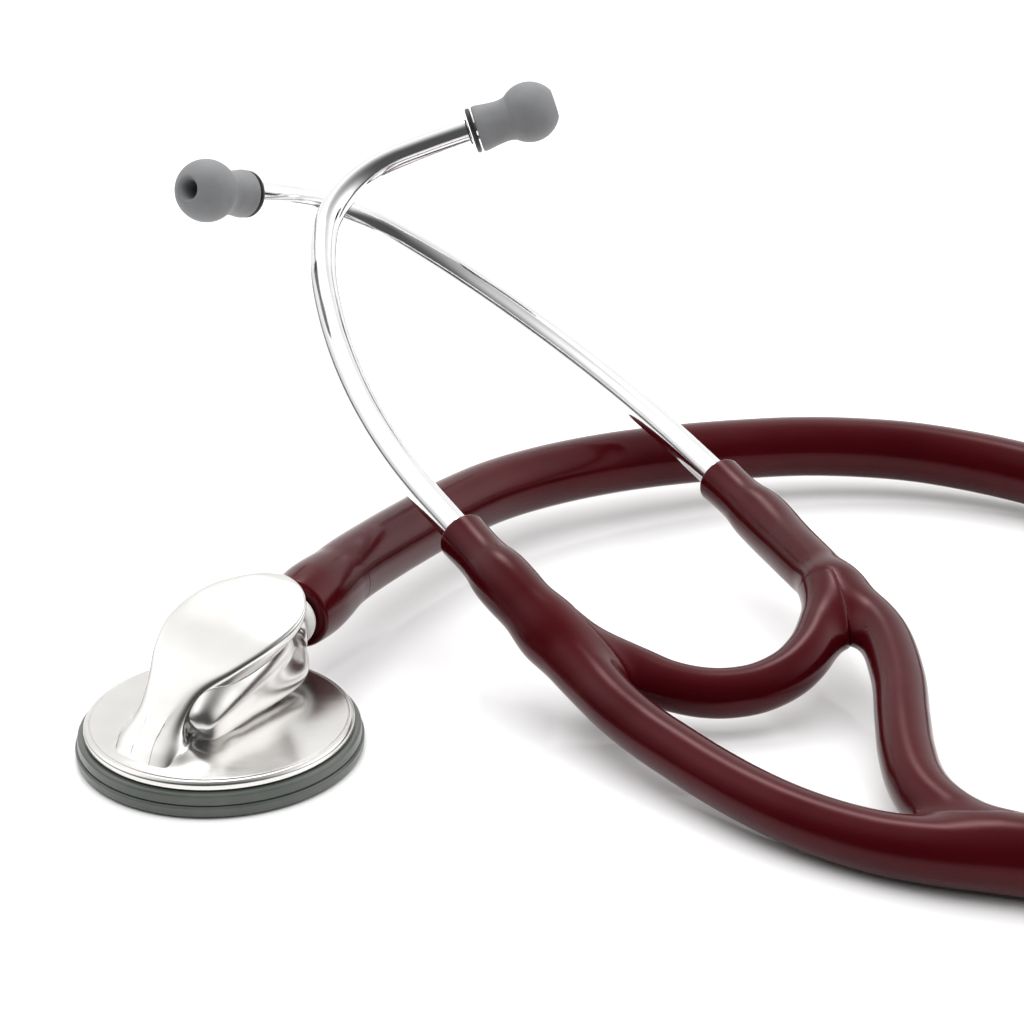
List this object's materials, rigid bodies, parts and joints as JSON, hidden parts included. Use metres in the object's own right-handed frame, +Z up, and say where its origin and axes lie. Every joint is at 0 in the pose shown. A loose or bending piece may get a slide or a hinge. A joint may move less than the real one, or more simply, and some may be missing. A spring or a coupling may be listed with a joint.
{
  "type": "stethoscope",
  "caption": "Stethoscope lying coiled on a table: polished steel chestpiece with a sculpted head, glossy burgundy tube and yoke, crossed chrome ear tubes with grey eartips.",
  "frame": {"origin": "centre of the diaphragm's outer face, which rests on the table at z = 0", "axes": "+Z up, out of the chestpiece's back; +X from the chestpiece towards the yoke's end of the coil; +Y towards the coil's far side, where the eartips are"},
  "size_m": [0.2394, 0.1996, 0.0782],
  "materials": {
    "polished_steel": "polished, mirror like",
    "chrome_plate": "bright chrome plate",
    "spring_steel": "bare spring steel strip",
    "burgundy_pvc": "soft glossy moulded PVC, opaque burgundy",
    "grey_green_rim": "satin moulded rim",
    "grey_surround": "thin flexible edge of the diaphragm",
    "pale_diaphragm": "thin epoxy and glass fibre sheet, satin",
    "pale_washer": "smooth pale collar",
    "black_washer": "plain black",
    "grey_silicone": "soft matte silicone"
  },
  "bodies": {
    "tubing_and_chestpiece": {"chestpiece_body": "polished_steel", "chill_ring": "grey_green_rim", "retaining_rim": "grey_green_rim", "diaphragm_surround": "grey_surround", "stem": "chrome_plate", "stem_washer": "pale_washer", "main_tube_mouth": "burgundy_pvc", "main_tube": "burgundy_pvc", "yoke": "burgundy_pvc", "near_lower_arm": "burgundy_pvc", "far_lower_arm": "burgundy_pvc", "spring_cover": "burgundy_pvc", "leaf_spring": "spring_steel"},
    "diaphragm_disc": {"diaphragm": "pale_diaphragm"},
    "near_arm_group": {"near_arm": "burgundy_pvc", "near_spring_clip": "polished_steel"},
    "far_arm_group": {"far_arm": "burgundy_pvc", "far_spring_clip": "polished_steel"},
    "near_ear_tube_group": {"near_ear_tube": "chrome_plate", "near_nipple": "chrome_plate", "near_washer": "black_washer"},
    "far_ear_tube_group": {"far_ear_tube": "chrome_plate", "far_nipple": "chrome_plate", "far_washer": "black_washer"},
    "near_eartip_group": {"near_eartip": "grey_silicone"},
    "far_eartip_group": {"far_eartip": "grey_silicone"}
  },
  "joints": [
    {"name": "diaphragm_travel", "type": "slide", "parent": "tubing_and_chestpiece", "child": "diaphragm_disc", "axis": [0, 0, 1], "range_m": [0, 0.0004], "stiffness_N_per_m": 20000},
    {"name": "near_arm_spread", "type": "hinge", "parent": "tubing_and_chestpiece", "child": "near_arm_group", "pos_m": [0.082, 0.008, 0.0075], "axis": [0.1004, -0.1104, 0.9888], "range_deg": [-12, 1], "stiffness_Nm_per_rad": 1.2, "deforming": ["near_lower_arm", "far_lower_arm", "spring_cover", "leaf_spring"]},
    {"name": "far_arm_spread", "type": "hinge", "parent": "tubing_and_chestpiece", "child": "far_arm_group", "pos_m": [0.082, 0.008, 0.0075], "axis": [0.1004, -0.1104, 0.9888], "range_deg": [-1, 12], "stiffness_Nm_per_rad": 1.2, "deforming": ["near_lower_arm", "far_lower_arm", "spring_cover", "leaf_spring"]},
    {"name": "near_ear_tube_turn", "type": "hinge", "parent": "near_arm_group", "child": "near_ear_tube_group", "pos_m": [0.0394, 0.0359, 0.0223], "axis": [-0.5077, 0.8317, 0.225], "range_deg": [-30, 5]},
    {"name": "far_ear_tube_turn", "type": "hinge", "parent": "far_arm_group", "child": "far_ear_tube_group", "pos_m": [0.0874, 0.0707, 0.0185], "axis": [-0.4901, 0.8489, 0.1977], "range_deg": [-30, 0]},
    {"name": "near_eartip_turn", "type": "hinge", "parent": "near_ear_tube_group", "child": "near_eartip_group", "pos_m": [0.03957, 0.13937, 0.06783], "axis": [0.9503, 0.0835, 0.3], "continuous": true},
    {"name": "far_eartip_turn", "type": "hinge", "parent": "far_ear_tube_group", "child": "far_eartip_group", "pos_m": [-0.00504, 0.12107, 0.05969], "axis": [-0.5467, -0.7883, 0.2823], "continuous": true}
  ],
  "couplings": [
    {"joint": "far_arm_spread", "follows": "near_arm_spread", "ratio": -1}
  ]
}
